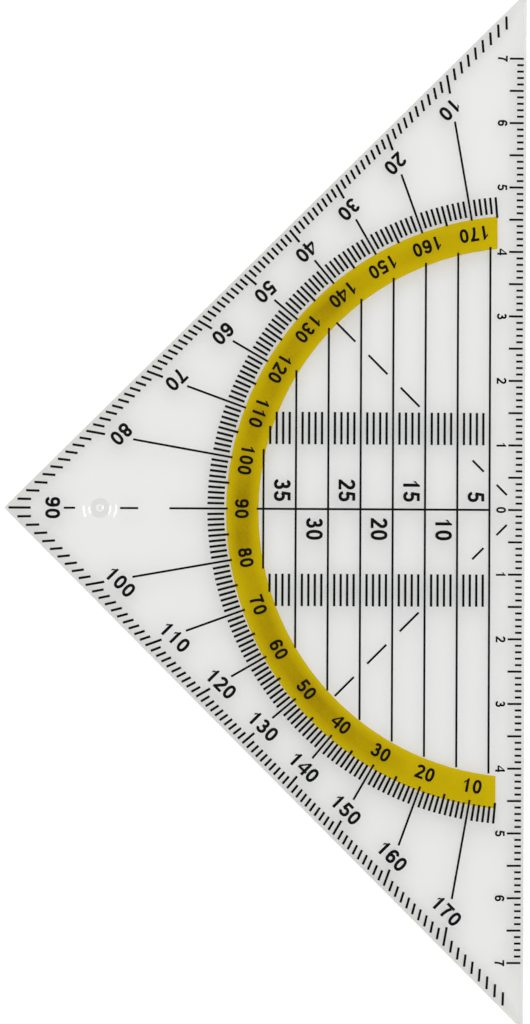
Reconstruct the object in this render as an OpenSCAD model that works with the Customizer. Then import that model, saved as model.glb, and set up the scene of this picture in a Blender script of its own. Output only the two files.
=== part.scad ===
// Geometry triangle: a clear set square with a ruler along its long edge and a
// protractor round the zero mark. Printed face up, zero mark at the origin, long
// drawing edge towards +Y, right-angled corner towards -Y. All sizes in millimetres.

/* [Plate] */
// Distance from the zero mark to the right-angled corner
reach = 80; // [70:0.5:110]
// Thickness of the plate
plate_t = 2; // [1.2:0.1:4]
// Width of the bevel round the printed face
bevel_w = 0.4; // [0.1:0.05:1]
// Height of the bevel
bevel_h = 0.5; // [0.1:0.05:1]
// Rounding of the three corners, seen from above
corner_r = 0.3; // [0.1:0.05:0.6]

/* [Gate mark] */
// Distance from the right-angled corner to the middle of the gate mark
gate_in = 14.8; // [14:0.1:17]
// Width of the gate mark
gate_d = 5.4; // [4.8:0.1:6]
// Width of its inner dish
gate_dish_d = 3.6; // [2.6:0.1:3.8]
// Depth of its outer ledge below the face
gate_ledge = 0.19; // [0.05:0.01:0.3]
// Depth of its inner dish below the ledge
gate_dish = 0.19; // [0.1:0.01:0.4]
// Slope of its two walls, seen from above
gate_wall = 0.36; // [0.1:0.02:0.4]
// Width of the broken-off stub in the middle, at its foot
gate_stub_d = 1.4; // [1:0.1:1.6]
// Height of the stub, which stays below the face
gate_stub = 0.2; // [0.05:0.01:0.23]
// Width of the stub's broken top
gate_tip_d = 0.6; // [0.55:0.05:0.9]
// Width of the pit in that top
gate_pit_d = 0.4; // [0.2:0.05:0.5]

/* [Print] */
// Thickness of the yellow ink
film_t = 0.02; // [0.01:0.005:0.05]
// Thickness of the black ink on top of the yellow ink
black_t = 0.02; // [0.01:0.005:0.05]
// Width of the printed lines
line_w = 0.33; // [0.16:0.01:0.36]
// Width of the close-set lines, which are the degree ticks and the hatch
scale_w = 0.37; // [0.18:0.01:0.4]
// Drift of the yellow print along the long edge
drift_x = 0.35; // [-0.5:0.05:0.5]
// Drift of the yellow print towards the long edge
drift_y = 0.25; // [-0.5:0.05:0.5]

/* [Ruler] */
// Spacing of the ruler's ticks and of the hatch beside the middle line
ruler_step = 1; // [1:0.5:2]
// Least distance from the ruler's ends, which are whole centimetres, to the sharp tips
ruler_in = 9; // [7:0.5:20]
// Gap between the bevel and the ruler's ticks
ruler_gap = 0.1; // [0.05:0.05:0.5]
// How far the ruler's ticks run out past the zero mark's line
tick_out = 0.08; // [0:0.02:0.2]
// Length of a millimetre tick
mm_tick = 0.95; // [0.5:0.05:1.2]
// Length of a centimetre or half-centimetre tick
cm_tick = 2.1; // [1.5:0.05:2.3]
// Gap between a centimetre tick and its figure
ruler_fig_gap = 0.33; // [0.25:0.02:0.55]
// Height of the ruler's figures
ruler_cap = 1.52; // [1.2:0.02:1.56]
// Pitch that the ruler's figures are drawn to, which sets their width
ruler_pitch = 1.12; // [0.9:0.02:1.2]
// Stroke of the ruler's figures
ruler_stroke = 0.3; // [0.16:0.01:0.3]

/* [Protractor band] */
// Width of the yellow band
band_w = 5; // [4.6:0.1:5.2]
// Distance of the band's two ends from the zero mark's line
band_end = 3.9; // [2:0.1:4.4]
// Distance from the band's inner edge to the top of its figures
band_fig_in = 1.25; // [1:0.05:1.8]
// Height of the band's figures
band_cap = 2.15; // [1.6:0.05:2.2]
// Distance from one figure of a number on the band to the next
band_pitch = 1.6; // [1.3:0.05:1.65]
// Stroke of the band's figures
band_stroke = 0.42; // [0.2:0.01:0.42]

/* [Protractor degrees] */
// Gap between the ruler's figures and the first degree marked on the arc
arc_first_gap = 0.05; // [0.05:0.05:4]
// Gap between the band and a degree tick on the arc
arc_gap = 0.05; // [0.05:0.05:0.2]
// Length of a degree tick on the arc
arc_tick = 2.6; // [1.5:0.05:2.7]
// How far a five-degree tick runs in past the degree ticks
five_more = 0.6; // [0.2:0.05:0.8]
// How far a ten-degree ray runs in past the degree ticks
ray_more = 0.55; // [0.2:0.05:0.8]
// Gap between a ten-degree ray and the edge's figures
ray_gap = 0.7; // [0.5:0.02:1.1]
// Clearance between the arc's ticks and the ends of the rays, where a short edge is nearest
arc_clear = 1.38; // [0.4:0.02:4]

/* [Edge degrees] */
// First degree marked along the short edges
edge_from = 2; // [2:1:9]
// Gap between the bevel and the edge's ticks
edge_gap = 0.15; // [0.11:0.02:0.4]
// Length of a degree tick along the short edges, square to the edge
edge_tick = 1.5; // [0.8:0.05:1.8]
// Length of a ten-degree tick along the short edges, square to the edge
ten_tick = 2.4; // [1.9:0.05:2.5]
// Gap between a ten-degree tick and its number
edge_fig_gap = 0.59; // [0.41:0.02:0.81]
// Height of the edge's figures
edge_cap = 2.3; // [1.8:0.05:2.35]
// Distance from one figure of a number along the edge to the next
edge_pitch = 1.78; // [1.4:0.02:1.85]
// Stroke of the edge's figures
edge_stroke = 0.46; // [0.22:0.01:0.47]
// Distance from the top of an edge number to the point of it that lies on its ray
edge_anchor = 0.35; // [0:0.05:1.2]

/* [Apex line] */
// Bare stretch between the ninety-degree ray and the dash before the gate mark
apex_break = 4.8; // [3:0.1:6]
// Length of the dash before the gate mark
apex_dash = 2.8; // [1:0.1:3.5]
// Gap between that dash and the gate mark
apex_gate_gap = 0.4; // [0.2:0.05:1]
// Gap between the gate mark and the last stretch of the line
apex_last_gap = 1.1; // [0.4:0.1:1.8]
// Gap between the line and the number ninety
apex_fig_gap = 0.55; // [0.3:0.05:1]

/* [Parallel lines] */
// Spacing of the parallel lines
row_pitch = 5; // [4.5:0.5:6.5]
// How far the lines run in over the band's inner radius
row_over = 0.05; // [0:0.05:0.3]
// Distance of the millimetre hatch from the middle
hatch_x = 10; // [8.5:0.5:12]
// Width of the millimetre hatch
hatch_w = 5; // [3:0.5:5]
// Distance from the middle line to the numbers on the left
left_fig_x = 1.2; // [0.6:0.05:1.5]
// Distance from the middle line to the numbers on the right
right_fig_x = 1.35; // [0.6:0.05:1.5]
// Distance from a parallel line down to the top of its number
row_fig_gap = 0.8; // [0.4:0.05:1]
// Height of the numbers of the parallel lines
row_cap = 2.6; // [1.8:0.05:2.65]
// Distance from one figure of such a number to the next
row_figs = 1.85; // [1.3:0.05:1.95]
// Stroke of the numbers of the parallel lines
row_stroke = 0.49; // [0.25:0.01:0.5]

/* [Diagonals] */
// Gap between a parallel line and the start of a dash
dash_gap = 0.9; // [0.4:0.05:1.2]
// Gap between the end of a full dash and the next parallel line
dash_end = 1.15; // [0.6:0.05:1.4]
// Length of the short dash in the first row, along the ruler
short_dash = 1.75; // [1:0.05:2]
// Length of the dash beside the ruler's figures, along the ruler
ruler_dash = 1.6; // [1:0.05:1.8]
// Gap between that dash and the ruler's ticks
ruler_dash_gap = 0.2; // [0.1:0.05:0.4]

/* [Hidden] */

clear_plastic = [0.88, 0.9, 0.91, 0.35];
yellow_ink = [0.82, 0.72, 0.04];
black_ink = [0.06, 0.06, 0.07];

// Turn between two points of a curved stroke, in degrees
arc_step = 12;
// Power that makes the round figures fuller than an ellipse
fullness = 0.88;
// Share of a figure's pitch that the figure itself takes
figure_share = 0.84;
// Ticks from one figure of the ruler to the next
ticks_per_figure = 10;
// What a cutting shape stands clear of the plate
spare = 1;

// The plate's edges
long_edge_y = tick_out + ruler_gap + bevel_w;
leg_d = reach / sqrt(2);
half_len = reach + long_edge_y;
gate_y = reach - gate_in;

// The printed layers
ink_t = film_t + black_t;

// Distances from a short edge, square to it
edge_tick_d = bevel_w + edge_gap;
edge_base_d = edge_tick_d + ten_tick + edge_fig_gap;
edge_top_d = edge_base_d + edge_cap;
ray_d = edge_top_d + ray_gap;

// Radii of the protractor, which fills the room inside the edge's figures
arc_end_r = leg_d - ray_d - arc_clear;
arc_r = arc_end_r - arc_tick;
band_r = arc_r - arc_gap - band_w;
band_base_r = band_r + band_fig_in + band_cap;

// The ruler
figure_step = ticks_per_figure * ruler_step;
last_figure = floor((half_len - ruler_in) / figure_step);
ruler_base = cm_tick + ruler_fig_gap + ruler_cap;
arc_from = ceil(asin((ruler_base + arc_first_gap) / arc_r));

// The field of parallel lines inside the band
field_r = band_r + row_over;
rows = floor((field_r - line_w) / row_pitch);
diagonal_end = field_r / sqrt(2);
hatch_lines = round(row_pitch / ruler_step) - 1;
// Rows outside the hatch in which a diagonal still has room before the band begins
dash_rows = [
    for (row = [1:rows])
        if (row * row_pitch + dash_gap > hatch_x + hatch_w && row * row_pitch + dash_gap < diagonal_end) row
];

// Figures, drawn one unit high on their base line

function unit(v) = v / norm(v);
function to_left(v) = [-v.y, v.x];
function fuller(c) = sign(c) * pow(abs(c), fullness);

// Points along a round stroke about a centre, from one angle to another
function bow(centre, rx, ry, from, to) =
    let (n = ceil(abs(to - from) / arc_step))
    [for (i = [0:n]) let (t = from + (to - from) * i / n)
        centre + [rx * fuller(cos(t)), ry * fuller(sin(t))]];

// The step from a point of a path to the mitred side of a stroke one unit away
function mitre(path, i) =
    let (
        last = len(path) - 1,
        before = to_left(unit(path[max(i, 1)] - path[max(i, 1) - 1])),
        after = to_left(unit(path[min(i, last - 1) + 1] - path[min(i, last - 1)]))
    )
    (before + after) / (1 + before * after);

// A stroke of even width: down one side of its path and back along the other
module stroke(path, s) {
    last = len(path) - 1;
    polygon(concat(
        [for (i = [0:last]) path[i] - mitre(path, i) * s / 2],
        [for (i = [last:-1:0]) path[i] + mitre(path, i) * s / 2]
    ));
}

// A closed round stroke, given its outer half width and half height
module ring(centre, rx, ry, s) {
    outer = bow(centre, rx, ry, 0, 360 - arc_step);
    inner = bow(centre, rx - s, ry - s, 0, 360 - arc_step);
    n = len(outer);
    polygon(concat(outer, inner), [[for (i = [0:n - 1]) i], [for (i = [0:n - 1]) n + i]]);
}

module bar(x0, y0, x1, y1) {
    translate([x0, y0]) square([x1 - x0, y1 - y0]);
}

module zero(w, s) {
    ring([w / 2, 0.5], w / 2, 0.5, s);
}

module one(w, s) {
    x = 0.7 * w;
    polygon([
        [x, 0], [x, 1], [x - 0.55 * s, 1], [0.4 * w, 0.865], [0.14 * w, 0.755],
        [0.14 * w, 0.755 - 0.85 * s], [0.34 * w, 0.72], [x - s, 0.785], [x - s, 0]
    ]);
}

module two(w, s) {
    h = s / 2;
    stroke(concat(bow([w / 2, 0.7], w / 2 - h, 0.3 - h, 172, -32), [[0.15 * w, h]]), s);
    bar(0, 0, w, s * 0.9);
}

module three(w, s) {
    h = s / 2;
    waist = 0.53;
    top = (1 - h - waist) / 2;
    bottom = (waist - h) / 2;
    stroke(concat(bow([0.48 * w, waist + top], 0.43 * w - h, top, 165, -90), [[0.36 * w, waist]]), s);
    stroke(bow([0.49 * w, h + bottom], 0.51 * w - h, bottom, 90, -168), s);
}

module four(w, s) {
    x = 0.66 * w;
    foot = 0.235;
    sill = foot + 0.88 * s;
    difference() {
        polygon([
            [x + s, 0], [x + s, foot], [1.06 * w, foot], [1.06 * w, sill], [x + s, sill], [x + s, 1],
            [x + 0.25 * s, 1], [-0.03 * w, sill + 0.01], [-0.03 * w, foot], [x, foot], [x, 0]
        ]);
        polygon([[x, sill], [x, 0.79], [0.22 * w, sill]]);
    }
}

module five(w, s) {
    h = s / 2;
    stroke([[0.93 * w, 1 - h], [0.28 * w, 1 - h], [0.17 * w, 0.47]], s * 0.95);
    stroke(bow([0.48 * w, 0.33], 0.52 * w - h, 0.33 - h, 146, -168), s);
}

module six(w, s) {
    h = s / 2;
    ring([0.51 * w, 0.325], 0.49 * w, 0.325, s);
    stroke(bow([0.55 * w, 0.5], 0.55 * w - h, 0.5 - h, 32, 196), s);
}

module seven(w, s) {
    bar(0.02 * w, 1 - 0.95 * s, w, 1);
    stroke(concat(bow([1.32 * w, 0], 0.89 * w, 1.03, 180, 122), [[w - 0.6 * s, 1 - 0.55 * s]]), s);
}

module eight(w, s) {
    h = s / 2;
    waist = 0.53;
    ring([w / 2, (1 + waist - h) / 2], 0.44 * w, (1 - waist + h) / 2, s);
    ring([w / 2, (waist + h) / 2], w / 2, (waist + h) / 2, s);
}

module nine(w, s) {
    translate([w, 1]) rotate(180) six(w, s);
}

module figure(d, w, s) {
    if (d == 0) zero(w, s);
    if (d == 1) one(w, s);
    if (d == 2) two(w, s);
    if (d == 3) three(w, s);
    if (d == 4) four(w, s);
    if (d == 5) five(w, s);
    if (d == 6) six(w, s);
    if (d == 7) seven(w, s);
    if (d == 8) eight(w, s);
    if (d == 9) nine(w, s);
}

function figures_of(value) =
    value < 10 ? [value] : concat(figures_of(floor(value / 10)), [value % 10]);
function number_w(value, pitch) =
    (len(figures_of(value)) - 1 + figure_share) * pitch;

// A whole number at its real size, centred over its base line
module number(value, cap, pitch, s) {
    figs = figures_of(value);
    for (i = [0:len(figs) - 1])
        translate([i * pitch - number_w(value, pitch) / 2, 0])
            scale(cap) figure(figs[i], figure_share * pitch / cap, s / cap);
}

// Printed layers

// Ink of one thickness, laid on the plate
module on_plate(t) {
    translate([0, 0, plate_t]) linear_extrude(t) children();
}

// Black ink that lies on the plate, and on the yellow ink where the two prints overlap
module over_film() {
    difference() {
        on_plate(ink_t) children();
        film();
    }
}

module film() {
    on_plate(film_t) difference() {
        translate([drift_x, drift_y]) circle(band_r + band_w, $fn = 180);
        translate([drift_x, drift_y]) circle(band_r, $fn = 180);
        translate([-half_len, -band_end]) square([2 * half_len, half_len]);
    }
}

// A straight printed line between two points
module line(a, b, w = line_w) {
    side = to_left(unit(b - a)) * w / 2;
    polygon([a + side, a - side, b - side, b + side]);
}

// Direction of a degree from the zero mark, counted from the left end of the long edge
function ray(degree) = [-cos(degree), -sin(degree)];
// Distance along a degree's ray to the line at distance d inside the short edge
function reach_to(degree, d) = (leg_d - d) * sqrt(2) / (abs(cos(degree)) + sin(degree));
// Half the length of a parallel line at distance y inside the field
function half_chord(y) = sqrt(field_r * field_r - y * y);

// The moulded plate

function corner(p, a, b) =
    let (
        u = unit(a - p), v = unit(b - p), half = acos(u * v) / 2,
        centre = p + unit(u + v) * corner_r / sin(half),
        from = p + u * corner_r / tan(half) - centre,
        turn = 180 - 2 * half, n = ceil(turn / arc_step)
    )
    [for (i = [0:n]) let (t = atan2(from.y, from.x) + turn * i / n)
        centre + corner_r * [cos(t), sin(t)]];

module outline() {
    left = [-half_len, long_edge_y];
    right = [half_len, long_edge_y];
    apex = [0, -reach];
    polygon(concat(corner(left, right, apex), corner(apex, left, right), corner(right, apex, left)));
}

// The wedge that the bevel takes off an edge, whose outer side faces +Y
module edge_wedge() {
    rotate([90, 0, 90]) linear_extrude(3 * half_len, center = true) polygon([
        [-2 * bevel_w, plate_t + bevel_h], [bevel_w, plate_t - 2 * bevel_h], [bevel_w, plate_t + bevel_h]
    ]);
}

// The gate mark's hollow, with the stub left standing in its middle
module gate_hollow() {
    floor_z = -gate_ledge - gate_dish;
    stub_z = floor_z + gate_stub;
    rotate_extrude($fn = 96) polygon([
        [0, (floor_z + stub_z) / 2], [gate_pit_d / 2, stub_z], [gate_tip_d / 2, stub_z],
        [gate_stub_d / 2, floor_z], [gate_dish_d / 2 - gate_wall, floor_z], [gate_dish_d / 2, -gate_ledge],
        [gate_d / 2 - gate_wall, -gate_ledge], [gate_d / 2, 0], [gate_d / 2, spare], [0, spare]
    ]);
}

module plate() {
    color(clear_plastic) difference() {
        linear_extrude(plate_t) outline();
        for (edge = [[0, long_edge_y], [135, leg_d], [225, leg_d]])
            rotate(edge[0]) translate([0, edge[1], 0]) edge_wedge();
        translate([0, -gate_y, plate_t]) gate_hollow();
    }
}

// The yellow print

module yellow_band() {
    color(yellow_ink) film();
}

// The black print: ruler

module ruler_ticks() {
    color(black_ink) on_plate(ink_t)
        for (i = [-last_figure * ticks_per_figure:last_figure * ticks_per_figure]) {
            x = i * ruler_step;
            line([x, tick_out], [x, i % (ticks_per_figure / 2) == 0 ? -cm_tick : -mm_tick]);
        }
}

module ruler_figures() {
    color(black_ink) over_film()
        for (i = [-last_figure:last_figure])
            translate([i * figure_step, -ruler_base])
                number(abs(i), ruler_cap, ruler_pitch, ruler_stroke);
}

// The black print: degrees along the short edges

module edge_degree_ticks() {
    color(black_ink) on_plate(ink_t)
        for (degree = [edge_from:180 - edge_from]) {
            tick = degree % 10 == 0 ? ten_tick : edge_tick;
            line(
                ray(degree) * reach_to(degree, edge_tick_d),
                ray(degree) * reach_to(degree, edge_tick_d + tick),
                scale_w
            );
        }
}

module edge_degree_figures() {
    color(black_ink) on_plate(ink_t) {
        for (degree = [10:10:170])
            if (degree != 90)
                translate(ray(degree) * reach_to(degree, edge_top_d - edge_anchor))
                    rotate(sign(degree - 90) * 45) translate([0, edge_anchor - edge_cap])
                        number(degree, edge_cap, edge_pitch, edge_stroke);
        translate([0, -reach_to(90, ray_d) - apex_fig_gap - edge_cap])
            number(90, edge_cap, edge_pitch, edge_stroke);
    }
}

// The black print: protractor

module arc_degree_ticks() {
    color(black_ink) over_film()
        for (degree = [arc_from:180 - arc_from])
            if (degree % 10 != 0)
                line(
                    ray(degree) * (degree % 5 == 0 ? arc_r - five_more : arc_r),
                    ray(degree) * arc_end_r,
                    scale_w
                );
}

module degree_rays() {
    color(black_ink) over_film()
        for (degree = [10:10:170])
            if (degree != 90)
                line(ray(degree) * (arc_r - ray_more), ray(degree) * reach_to(degree, ray_d));
}

module apex_line() {
    dash_far = gate_y - gate_d / 2 - apex_gate_gap;
    dash_near = dash_far - apex_dash;
    last_near = gate_y + gate_d / 2 + apex_last_gap;
    color(black_ink) over_film() {
        line([0, -arc_r + ray_more], [0, -dash_near + apex_break]);
        line([0, -dash_near], [0, -dash_far]);
        line([0, -last_near], [0, -reach_to(90, ray_d)]);
    }
}

module band_figures() {
    color(black_ink) translate([0, 0, film_t]) on_plate(black_t)
        for (degree = [10:10:170])
            translate(ray(degree) * band_base_r) rotate(degree - 90)
                number(180 - degree, band_cap, band_pitch, band_stroke);
}

// The black print: parallel lines, their numbers, hatch and diagonals

module parallel_lines() {
    color(black_ink) over_film() {
        line([0, -row_pitch + line_w / 2], [0, -field_r]);
        for (row = [1:rows])
            line([-1, 0] * half_chord(row * row_pitch) - [0, row * row_pitch],
                 [1, 0] * half_chord(row * row_pitch) - [0, row * row_pitch]);
    }
}

// One column of millimetre lines between the parallel lines, on the +X or -X side
module hatch(side) {
    color(black_ink) over_film()
        for (row = [1:rows - 1])
            for (i = [1:hatch_lines]) {
                y = row * row_pitch + i * ruler_step;
                end = min(hatch_x + hatch_w, half_chord(y));
                if (end > hatch_x)
                    line([side * hatch_x, -y], [side * end, -y], scale_w);
            }
}

module left_hatch() {
    hatch(-1);
}

module right_hatch() {
    hatch(1);
}

// Odd rows have their number left of the middle line, even rows right of it
module row_figures() {
    color(black_ink) on_plate(ink_t)
        for (row = [1:rows - 1]) {
            value = round(row * row_pitch / ruler_step);
            half_w = number_w(value, row_figs) / 2;
            x = row % 2 == 1 ? -left_fig_x - half_w : right_fig_x + half_w;
            translate([x, -row * row_pitch - row_fig_gap - row_cap])
                number(value, row_cap, row_figs, row_stroke);
        }
}

// A dash of the forty-five-degree diagonal, between two distances from the zero mark's line
module dash(side, from, to) {
    line([side, -1] * from, [side, -1] * to);
}

module diagonal_dashes() {
    near = cm_tick + ruler_dash_gap;
    color(black_ink) over_film()
        for (side = [-1, 1]) {
            dash(side, near, near + ruler_dash);
            dash(side, row_pitch + dash_gap, row_pitch + dash_gap + short_dash);
            for (row = dash_rows)
                dash(side, row * row_pitch + dash_gap, min((row + 1) * row_pitch - dash_end, diagonal_end));
        }
}

plate();
yellow_band();
ruler_ticks();
ruler_figures();
edge_degree_ticks();
edge_degree_figures();
arc_degree_ticks();
degree_rays();
apex_line();
band_figures();
parallel_lines();
left_hatch();
right_hatch();
row_figures();
diagonal_dashes();
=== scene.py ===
from math import radians

import bmesh
import bpy
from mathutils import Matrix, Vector


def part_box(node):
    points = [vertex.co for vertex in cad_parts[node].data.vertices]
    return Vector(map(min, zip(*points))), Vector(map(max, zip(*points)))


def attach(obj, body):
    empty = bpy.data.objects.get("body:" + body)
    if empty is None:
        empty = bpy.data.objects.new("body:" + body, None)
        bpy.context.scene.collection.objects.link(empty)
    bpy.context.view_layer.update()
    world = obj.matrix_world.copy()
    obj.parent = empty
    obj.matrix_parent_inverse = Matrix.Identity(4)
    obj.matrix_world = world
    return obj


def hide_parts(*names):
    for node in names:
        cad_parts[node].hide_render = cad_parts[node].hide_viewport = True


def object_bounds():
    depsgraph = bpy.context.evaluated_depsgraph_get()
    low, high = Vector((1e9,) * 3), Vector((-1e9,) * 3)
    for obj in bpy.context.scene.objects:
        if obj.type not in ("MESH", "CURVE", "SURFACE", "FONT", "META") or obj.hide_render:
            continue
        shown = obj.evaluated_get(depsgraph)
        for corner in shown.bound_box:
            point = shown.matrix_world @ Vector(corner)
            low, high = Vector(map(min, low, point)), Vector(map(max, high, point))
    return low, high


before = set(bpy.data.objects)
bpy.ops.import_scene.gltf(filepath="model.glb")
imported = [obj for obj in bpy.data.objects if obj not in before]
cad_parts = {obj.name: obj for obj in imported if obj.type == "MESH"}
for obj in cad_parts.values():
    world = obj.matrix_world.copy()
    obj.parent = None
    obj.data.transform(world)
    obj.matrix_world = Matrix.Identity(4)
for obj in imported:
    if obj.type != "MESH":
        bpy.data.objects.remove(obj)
cad_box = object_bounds()
bpy.context.scene.view_settings.view_transform = "Standard"


# The plate
# One injection moulding of clear plastic, polished by the mould, with a bevel round the printed face and the
# mark of the gate near the right-angled corner. Its edges are a little rounded, as moulded edges are.
plate_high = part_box("plate")[1]
merge_reach = 1e-7
flat_turn = radians(0.5)
edge_turn = radians(12)
edge_round = 0.00006
gate_round = 0.00003
round_steps = 3
gate_place = Vector((0, -0.0652, plate_high.z))
gate_reach = 0.0032
plastic_ior = 1.5
plastic_tint = (0.91, 0.912, 0.91, 1)
plastic_shade = (0.93, 0.93, 0.928, 1)
plastic_rough = 0.01
plate_turns = 3


def own_object(name, shape):
    """Makes an object from a finished bmesh."""
    mesh = bpy.data.meshes.new(name)
    shape.to_mesh(mesh)
    shape.free()
    made = bpy.data.objects.new(name, mesh)
    bpy.context.scene.collection.objects.link(made)
    return made


plate_shape = bmesh.new()
plate_shape.from_mesh(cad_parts["plate"].data)
bmesh.ops.remove_doubles(plate_shape, verts=plate_shape.verts, dist=merge_reach)
bmesh.ops.dissolve_limit(plate_shape, angle_limit=flat_turn, verts=plate_shape.verts,
                         edges=plate_shape.edges)
plate_edges = [edge for edge in plate_shape.edges if edge.calc_face_angle(0) > edge_turn]
gate_edges = [edge for edge in plate_edges if (edge.verts[0].co - gate_place).length < gate_reach]
outer_edges = [edge for edge in plate_edges if edge not in gate_edges]
for edges, offset in ((gate_edges, gate_round), (outer_edges, edge_round)):
    bmesh.ops.bevel(plate_shape, geom=edges, offset=offset, offset_type="OFFSET", affect="EDGES",
                    segments=round_steps, profile=0.5, material=-1, clamp_overlap=True)
for face in plate_shape.faces:
    face.smooth = True
plate = own_object("clear_plate", plate_shape)
plate.modifiers.new("even_shading", "WEIGHTED_NORMAL")


def bare_material(name):
    """A new material with only its output node."""
    made = bpy.data.materials.new(name)
    made.use_nodes = True
    made.node_tree.nodes.clear()
    made.node_tree.nodes.new("ShaderNodeOutputMaterial")
    return made


def set_surface(material, shader):
    """Leads a shader socket into the material's output."""
    output = material.node_tree.nodes["Material Output"]
    material.node_tree.links.new(shader, output.inputs["Surface"])


def lead(tree, value, place):
    """Leads a socket into a node's input, or sets a plain value on that input."""
    if isinstance(value, bpy.types.NodeSocket):
        tree.links.new(value, place)
    else:
        place.default_value = value


def add_node(tree, kind, **values):
    """Adds a node with sockets or plain values on its inputs, whose names have _ for each space."""
    made = tree.nodes.new(kind)
    for name, value in values.items():
        lead(tree, value, made.inputs[name.replace("_", " ")])
    return made


def add_math(tree, operation, *values):
    """Adds a Math node on sockets or plain numbers, and gives its output."""
    made = tree.nodes.new("ShaderNodeMath")
    made.operation = operation
    for place, value in zip(made.inputs, values):
        lead(tree, value, place)
    return made.outputs[0]


def add_measure(tree, operation, place, about):
    """Adds a Vector Math node that measures places by a fixed vector, and gives the measure."""
    made = tree.nodes.new("ShaderNodeVectorMath")
    made.operation = operation
    made.inputs[1].default_value = about
    tree.links.new(place, made.inputs[0])
    return made.outputs["Value"]


def add_fade(tree, value, fade, span=(0, 1)):
    """Adds a Map Range node from the two ends of a fade to the two ends of a span, and gives its output."""
    made = add_node(tree, "ShaderNodeMapRange", Value=value, From_Min=fade[0], From_Max=fade[1],
                    To_Min=span[0], To_Max=span[1])
    return made.outputs[0]


def add_tone(tree, share, first, second):
    """Adds a Mix Color node between two colours, and gives its output."""
    return add_node(tree, "ShaderNodeMixRGB", Fac=share, Color1=first, Color2=second).outputs[0]


def add_shader_mix(tree, share, first, second):
    """Adds a Mix Shader node between two shaders, and gives its output."""
    made = tree.nodes.new("ShaderNodeMixShader")
    for place, value in zip(made.inputs, (share, first, second)):
        lead(tree, value, place)
    return made.outputs[0]


clear_plastic = bare_material("clear_plastic")
plastic_tree = clear_plastic.node_tree
plastic = add_node(plastic_tree, "ShaderNodeBsdfPrincipled", IOR=plastic_ior, Transmission_Weight=1)
plastic_place = plastic_tree.nodes.new("ShaderNodeTexCoord").outputs["Object"]

# The dish of the gate mark is painted darker, a painted shade in the hollow, and the torn stub in it is
# painted pale up to its pit, a painted glint. Each fades over two distances from the middle of the mark.
dish_fade = (0.00168, 0.00144)
dish_shade_tint = (0.713, 0.713, 0.7, 1)
stub_fade = (0.00077, 0.00056)
stub_glint_tint = (0.99, 0.99, 0.98, 1)
pit_fade = (0.000306, 0.000408)

gate_from = add_measure(plastic_tree, "DISTANCE", plastic_place, gate_place)
dish_shade_mask = add_fade(plastic_tree, gate_from, dish_fade)
stub_mask = add_fade(plastic_tree, gate_from, stub_fade)
pit_mask = add_fade(plastic_tree, gate_from, pit_fade)
stub_glint_ring = add_math(plastic_tree, "MULTIPLY", stub_mask, pit_mask)
# Painted shade in the dish, then a painted glint on the stub round its pit
dish_shade_tone = add_tone(plastic_tree, dish_shade_mask, plastic_tint, dish_shade_tint)
stub_glint_tone = add_tone(plastic_tree, stub_glint_ring, dish_shade_tone, stub_glint_tint)

# Towards its three edges the plate's colour is darker, less so along the long edge: painted shade,
# for the shadow that the plate's own edges cast on the paper beneath
leg_reach = 0.05657
leg_share = 0.92
long_edge_share = 0.6
edge_zone = 0.0032
edge_full_zone = 0.000704
edge_shade_tint = (0.8, 0.8, 0.777, 1)

edge_shade_masks = []
for way, reach, share in (
    (Vector((1, 1, 0)), leg_reach, leg_share),
    (Vector((-1, 1, 0)), leg_reach, leg_share),
    (Vector((0, -1, 0)), plate_high.y, long_edge_share),
):
    edge_along = add_measure(plastic_tree, "DOT_PRODUCT", plastic_place, way.normalized())
    edge_fade = (edge_zone - reach, edge_full_zone - reach)
    edge_shade_masks.append(add_fade(plastic_tree, edge_along, edge_fade, (0, share)))
leg_mask = add_math(plastic_tree, "MAXIMUM", edge_shade_masks[0], edge_shade_masks[1])
edge_shade_mask = add_math(plastic_tree, "MAXIMUM", leg_mask, edge_shade_masks[2])
# The darker edge zone is painted shade
edge_shade_tone = add_tone(plastic_tree, edge_shade_mask, stub_glint_tone, edge_shade_tint)

# Through its sides one looks along the plate, where the plastic is greyer and a little green
side_fade = (0.5, 0.1)
side_tint = (0.4, 0.46, 0.44, 1)

plate_way = plastic_tree.nodes.new("ShaderNodeNewGeometry").outputs["True Normal"]
side_turn = add_node(plastic_tree, "ShaderNodeSeparateXYZ", Vector=plate_way)
side_rise = add_math(plastic_tree, "ABSOLUTE", side_turn.outputs["Z"])
side_mask = add_fade(plastic_tree, side_rise, side_fade)
plate_tone = add_tone(plastic_tree, side_mask, edge_shade_tone, side_tint)
plastic_tree.links.new(plate_tone, plastic.inputs["Base Color"])

# Hairlines from use, in two directions, and the torn stub in the gate mark, are rougher
hairlines = (((30, 1800, 30), radians(20)), ((1500, 25, 25), radians(35)))
hair_fade = (0.7, 0.8)
hair_rough = 0.07
torn_fade = (0.00077, 0.00063)
torn_rough = 0.12
fine_detail = 1

rough_parts = []
for stretch, turn in hairlines:
    hair_way = add_node(plastic_tree, "ShaderNodeMapping", Vector=plastic_place, Rotation=(0, 0, turn),
                        Scale=stretch)
    hair_noise = add_node(plastic_tree, "ShaderNodeTexNoise", Vector=hair_way.outputs[0], Scale=1,
                          Detail=fine_detail)
    rough_parts.append(add_fade(plastic_tree, hair_noise.outputs[0], hair_fade, (plastic_rough, hair_rough)))
rough_parts.append(add_fade(plastic_tree, gate_from, torn_fade, (plastic_rough, torn_rough)))
all_hairs = add_math(plastic_tree, "MAXIMUM", rough_parts[0], rough_parts[1])
all_rough = add_math(plastic_tree, "MAXIMUM", all_hairs, rough_parts[2])
plastic_tree.links.new(all_rough, plastic.inputs["Roughness"])

# The polished mould leaves slight waves
wave_scale = 70
wave_strength = 0.1
wave_height = 0.0001

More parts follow.
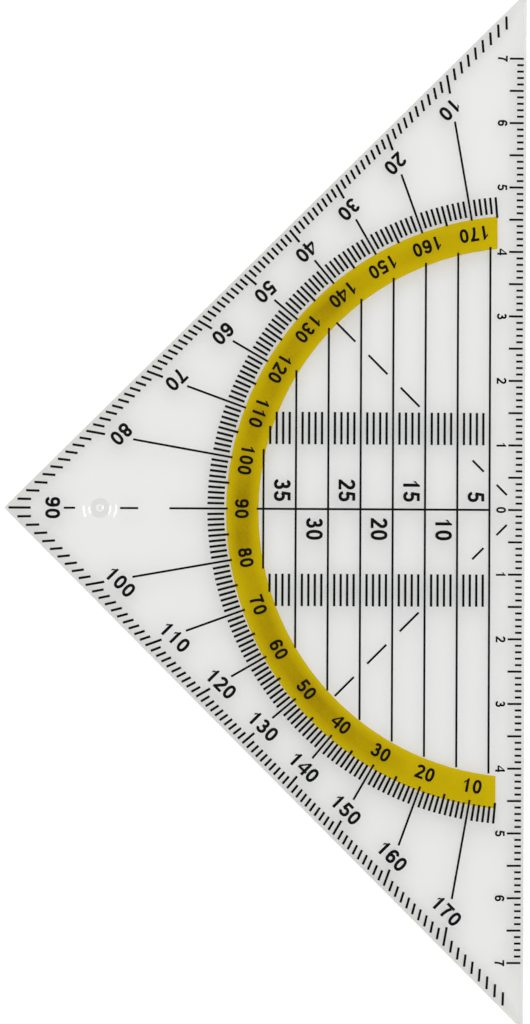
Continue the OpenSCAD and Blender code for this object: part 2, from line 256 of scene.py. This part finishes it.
wave_noise = add_node(plastic_tree, "ShaderNodeTexNoise", Vector=plastic_place, Scale=wave_scale,
                      Detail=fine_detail)
wave_bump = add_node(plastic_tree, "ShaderNodeBump", Strength=wave_strength, Distance=wave_height,
                     Height=wave_noise.outputs[0])
plastic_tree.links.new(wave_bump.outputs[0], plastic.inputs["Normal"])

# Light on its way to the paper goes straight through, and so does light that has gone to and fro inside
plastic_pass = add_node(plastic_tree, "ShaderNodeBsdfTransparent", Color=plastic_shade)
plastic_path = plastic_tree.nodes.new("ShaderNodeLightPath").outputs
plastic_deep = add_math(plastic_tree, "GREATER_THAN", plastic_path["Ray Depth"], plate_turns)
plastic_soft = add_math(plastic_tree, "MAXIMUM", plastic_path["Is Shadow Ray"],
                        plastic_path["Is Diffuse Ray"])
plastic_straight = add_math(plastic_tree, "MAXIMUM", plastic_soft, plastic_deep)
plastic_both = add_shader_mix(plastic_tree, plastic_straight, plastic.outputs[0], plastic_pass.outputs[0])
set_surface(clear_plastic, plastic_both)
plate.data.materials.append(clear_plastic)
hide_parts("plate")
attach(plate, "root")


# The yellow print
# The protractor's band, screen-printed on the plate before the black. The ink is thin enough that the paper
# shines through it, and lies a little thicker in some places than in others and thinner towards its edges.
# Towards its two ends it is lighter, partly from thinner ink and partly as painted light.
yellow_thin = (0.69, 0.53, 0.003, 1)
yellow_thick = (0.312, 0.203, 0.001, 1)
yellow_glass = (0.63, 0.447, 0.002, 1)
yellow_cover = 0.6
yellow_rough = 0.45
yellow_gloss = 0.03
yellow_middle = Vector((0.00035, 0.00025, plate_high.z))
yellow_radius = 0.0435
yellow_rim_fade = (0.0025, 0.00075)
yellow_end_fade = (-0.004, -0.031)
yellow_cloud_size = 80
yellow_mesh_size = 3000

# Unevenness of screen-printed ink, in broad clouds and in the fine mesh of the screen
cloud_detail = 3
cloud_roughness = 0.55
cloud_fade = (0.26, 0.7)
mesh_share = 0.15

ink_cloud = bpy.data.node_groups.new("ink_cloud", "ShaderNodeTree")
for name in ("Cloud Size", "Mesh Size", "Mesh Share"):
    ink_cloud.interface.new_socket(name, in_out="INPUT", socket_type="NodeSocketFloat")
ink_cloud.interface.new_socket("Thickness", in_out="OUTPUT", socket_type="NodeSocketFloat")
cloud_in = ink_cloud.nodes.new("NodeGroupInput").outputs
cloud_place = ink_cloud.nodes.new("ShaderNodeTexCoord").outputs["Object"]
cloud_broad = add_node(ink_cloud, "ShaderNodeTexNoise", Vector=cloud_place, Scale=cloud_in["Cloud Size"],
                       Detail=cloud_detail, Roughness=cloud_roughness)
cloud_fine = add_node(ink_cloud, "ShaderNodeTexNoise", Vector=cloud_place, Scale=cloud_in["Mesh Size"],
                      Detail=fine_detail)
cloud_mix = add_node(ink_cloud, "ShaderNodeMix", Factor=cloud_in["Mesh Share"], A=cloud_broad.outputs[0],
                     B=cloud_fine.outputs[0])
cloud_thickness = add_fade(ink_cloud, cloud_mix.outputs["Result"], cloud_fade)
add_node(ink_cloud, "NodeGroupOutput", Thickness=cloud_thickness)


def add_ink_cloud(tree, cloud_size, mesh_size):
    """Adds the ink's unevenness, with clouds and mesh of these sizes, and gives the ink's thickness."""
    made = tree.nodes.new("ShaderNodeGroup")
    made.node_tree = ink_cloud
    made.inputs["Cloud Size"].default_value = cloud_size
    made.inputs["Mesh Size"].default_value = mesh_size
    made.inputs["Mesh Share"].default_value = mesh_share
    return made.outputs["Thickness"]


def print_with(ink, *names):
    """Gives the named printed nodes their ink."""
    for name in names:
        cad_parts[name].data.materials.clear()
        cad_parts[name].data.materials.append(ink)


yellow_ink = bare_material("yellow_ink")
yellow_tree = yellow_ink.node_tree
yellow_place = yellow_tree.nodes.new("ShaderNodeTexCoord").outputs["Object"]
yellow_parts = add_node(yellow_tree, "ShaderNodeSeparateXYZ", Vector=yellow_place)
yellow_from = add_measure(yellow_tree, "DISTANCE", yellow_place, yellow_middle)
yellow_off = add_math(yellow_tree, "SUBTRACT", yellow_from, yellow_radius)
yellow_away = add_math(yellow_tree, "ABSOLUTE", yellow_off)
yellow_rim = add_fade(yellow_tree, yellow_away, yellow_rim_fade)
# Lighter towards the two ends: partly thinner ink, partly painted light
yellow_end_thin_and_lit = add_fade(yellow_tree, yellow_parts.outputs["Y"], yellow_end_fade)
yellow_deep = add_math(yellow_tree, "MULTIPLY", yellow_rim, yellow_end_thin_and_lit)
yellow_cloud = add_ink_cloud(yellow_tree, yellow_cloud_size, yellow_mesh_size)
yellow_share = add_math(yellow_tree, "MULTIPLY", yellow_cloud, yellow_deep)
yellow_tone = add_tone(yellow_tree, yellow_share, yellow_thin, yellow_thick)
yellow_solid = add_node(yellow_tree, "ShaderNodeBsdfPrincipled", Base_Color=yellow_tone,
                        Roughness=yellow_rough, Specular_IOR_Level=yellow_gloss)
yellow_pass = add_node(yellow_tree, "ShaderNodeBsdfTransparent", Color=yellow_glass)
yellow_film = add_shader_mix(yellow_tree, yellow_cover, yellow_pass.outputs[0], yellow_solid.outputs[0])
yellow_clear = add_node(yellow_tree, "ShaderNodeBsdfTransparent")
yellow_back = yellow_tree.nodes.new("ShaderNodeNewGeometry").outputs["Backfacing"]
set_surface(yellow_ink, add_shader_mix(yellow_tree, yellow_back, yellow_film, yellow_clear.outputs[0]))
print_with(yellow_ink, "yellow_band")


# The black print
# Every scale line and figure, screen-printed in one pass of black ink over the plate and the yellow band.
# The ink is matt, and a little uneven as the yellow is, in smaller clouds and a finer mesh.
black_thin = (0.006, 0.006, 0.0063, 1)
black_thick = (0.002, 0.002, 0.0021, 1)
black_thin_rough = 0.6
black_thick_rough = 0.4
black_gloss = 0.05
black_cloud_size = 300
black_mesh_size = 5000

black_ink = bare_material("black_ink")
black_tree = black_ink.node_tree
black_cloud = add_ink_cloud(black_tree, black_cloud_size, black_mesh_size)
black_tone = add_tone(black_tree, black_cloud, black_thin, black_thick)
black_rough = add_fade(black_tree, black_cloud, (0, 1), (black_thin_rough, black_thick_rough))
black_solid = add_node(black_tree, "ShaderNodeBsdfPrincipled", Base_Color=black_tone, Roughness=black_rough,
                       Specular_IOR_Level=black_gloss)
set_surface(black_ink, black_solid.outputs[0])
print_with(black_ink, *[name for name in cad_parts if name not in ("plate", "yellow_band")])


# The table
# A sheet of white paper on a flat table, which the triangle lies on with a hair of air between.
# It stays white to the eye, also far off, and under the plastic it takes the soft shadow of the print.
paper_half = 4
paper_gap = 0.00004
paper_white = (0.9, 0.9, 0.896, 1)
paper_fade = (0.25, 1.2)
paper_glow = (0.28, 0.7)
paper_through = 0.48


def seen_rays(tree, through):
    """A socket that is 1 for rays straight from the eye, and a given share for those by gloss or glass."""
    path = tree.nodes.new("ShaderNodeLightPath").outputs
    by_way = add_math(tree, "MAXIMUM", path["Is Glossy Ray"], path["Is Transmission Ray"])
    part = add_math(tree, "MULTIPLY", by_way, through)
    return add_math(tree, "MAXIMUM", path["Is Camera Ray"], part)


paper_shape = bmesh.new()
bmesh.ops.create_grid(paper_shape, x_segments=1, y_segments=1, size=paper_half)
bmesh.ops.translate(paper_shape, verts=paper_shape.verts, vec=(0, 0, cad_box[0].z - paper_gap))
paper = own_object("paper", paper_shape)

white_paper = bare_material("white_paper")
paper_tree = white_paper.node_tree
paper_place = paper_tree.nodes.new("ShaderNodeTexCoord").outputs["Object"]
paper_from = add_measure(paper_tree, "DISTANCE", paper_place, (0, 0, 0))
paper_rise = add_fade(paper_tree, paper_from, paper_fade, paper_glow)
paper_matt = add_node(paper_tree, "ShaderNodeBsdfDiffuse", Color=paper_white)
paper_light = add_node(paper_tree, "ShaderNodeEmission", Strength=paper_rise)
paper_dark = add_node(paper_tree, "ShaderNodeEmission", Strength=0)
paper_seen = seen_rays(paper_tree, paper_through)
paper_shine = add_shader_mix(paper_tree, paper_seen, paper_dark.outputs[0], paper_light.outputs[0])
paper_sum = paper_tree.nodes.new("ShaderNodeAddShader")
paper_tree.links.new(paper_matt.outputs[0], paper_sum.inputs[0])
paper_tree.links.new(paper_shine, paper_sum.inputs[1])
set_surface(white_paper, paper_sum.outputs[0])
paper.data.materials.append(white_paper)


# The light
# The light of a white room, which is brighter overhead, a broad soft light past the left end, and a small
# bright box on either side, over the corner and over the drawing edge. The two boxes only glint in the
# plastic. Places are counted from the middle of the plate.
room_white = (1, 1, 1, 1)
room_strength = (0.2, 1.15)
corner_box_place = Vector((-0.13, -0.65, 0.58))
edge_box_place = Vector((-0.13, 0.65, 0.58))
box_size = (0.55, 0.13)
box_power = 1.2
end_light_place = Vector((-0.9, 0, 0.6))
end_light_size = (1.2, 0.8)
end_light_power = 3.9

room = bpy.data.worlds.new("room")
bpy.context.scene.world = room
room.use_nodes = True
room_tree = room.node_tree
room_tree.nodes.clear()
room_output = room_tree.nodes.new("ShaderNodeOutputWorld")
room_way = room_tree.nodes.new("ShaderNodeTexCoord").outputs["Generated"]
room_height = add_node(room_tree, "ShaderNodeSeparateXYZ", Vector=room_way)
room_rise = add_fade(room_tree, room_height.outputs["Z"], (0, 1), room_strength)
room_dim = add_node(room_tree, "ShaderNodeBackground", Color=room_white, Strength=room_rise)
room_plain = add_node(room_tree, "ShaderNodeBackground", Color=room_white, Strength=1)
room_seen = seen_rays(room_tree, 1)
room_shine = add_shader_mix(room_tree, room_seen, room_dim.outputs[0], room_plain.outputs[0])
room_tree.links.new(room_shine, room_output.inputs["Surface"])

plate_middle = (cad_box[0] + cad_box[1]) / 2
for name, place, size, power, glints in (
    ("corner_box", corner_box_place, box_size, box_power, True),
    ("edge_box", edge_box_place, box_size, box_power, True),
    ("end_light", end_light_place, end_light_size, end_light_power, False),
):
    lamp = bpy.data.lights.new(name, "AREA")
    lamp.shape = "RECTANGLE"
    lamp.size, lamp.size_y = size
    lamp.energy = power
    lamp.use_shadow = not glints
    light = bpy.data.objects.new(name, lamp)
    light.location = plate_middle + place
    light.rotation_euler = place.to_track_quat("Z", "Y").to_euler()
    light.visible_camera = False
    light.visible_diffuse = not glints
    light.visible_glossy = glints
    bpy.context.scene.collection.objects.link(light)


# The camera
# It looks straight down on the printed face, with the long edge along the right of the picture.
camera_place = Vector((0.00459, -0.05232, 0.4))
camera_turn = [radians(turn) for turn in (0.58, -1.812, 90.278)]
camera_sensor = 36
camera_lens = 90.712
camera_near = 0.01

camera_data = bpy.data.cameras.new("camera")
camera_data.sensor_width = camera_sensor
camera_data.lens = camera_lens
camera_data.clip_start = camera_near
camera = bpy.data.objects.new("camera", camera_data)
camera.location = camera_place
camera.rotation_euler = camera_turn
bpy.context.scene.collection.objects.link(camera)
bpy.context.scene.camera = camera
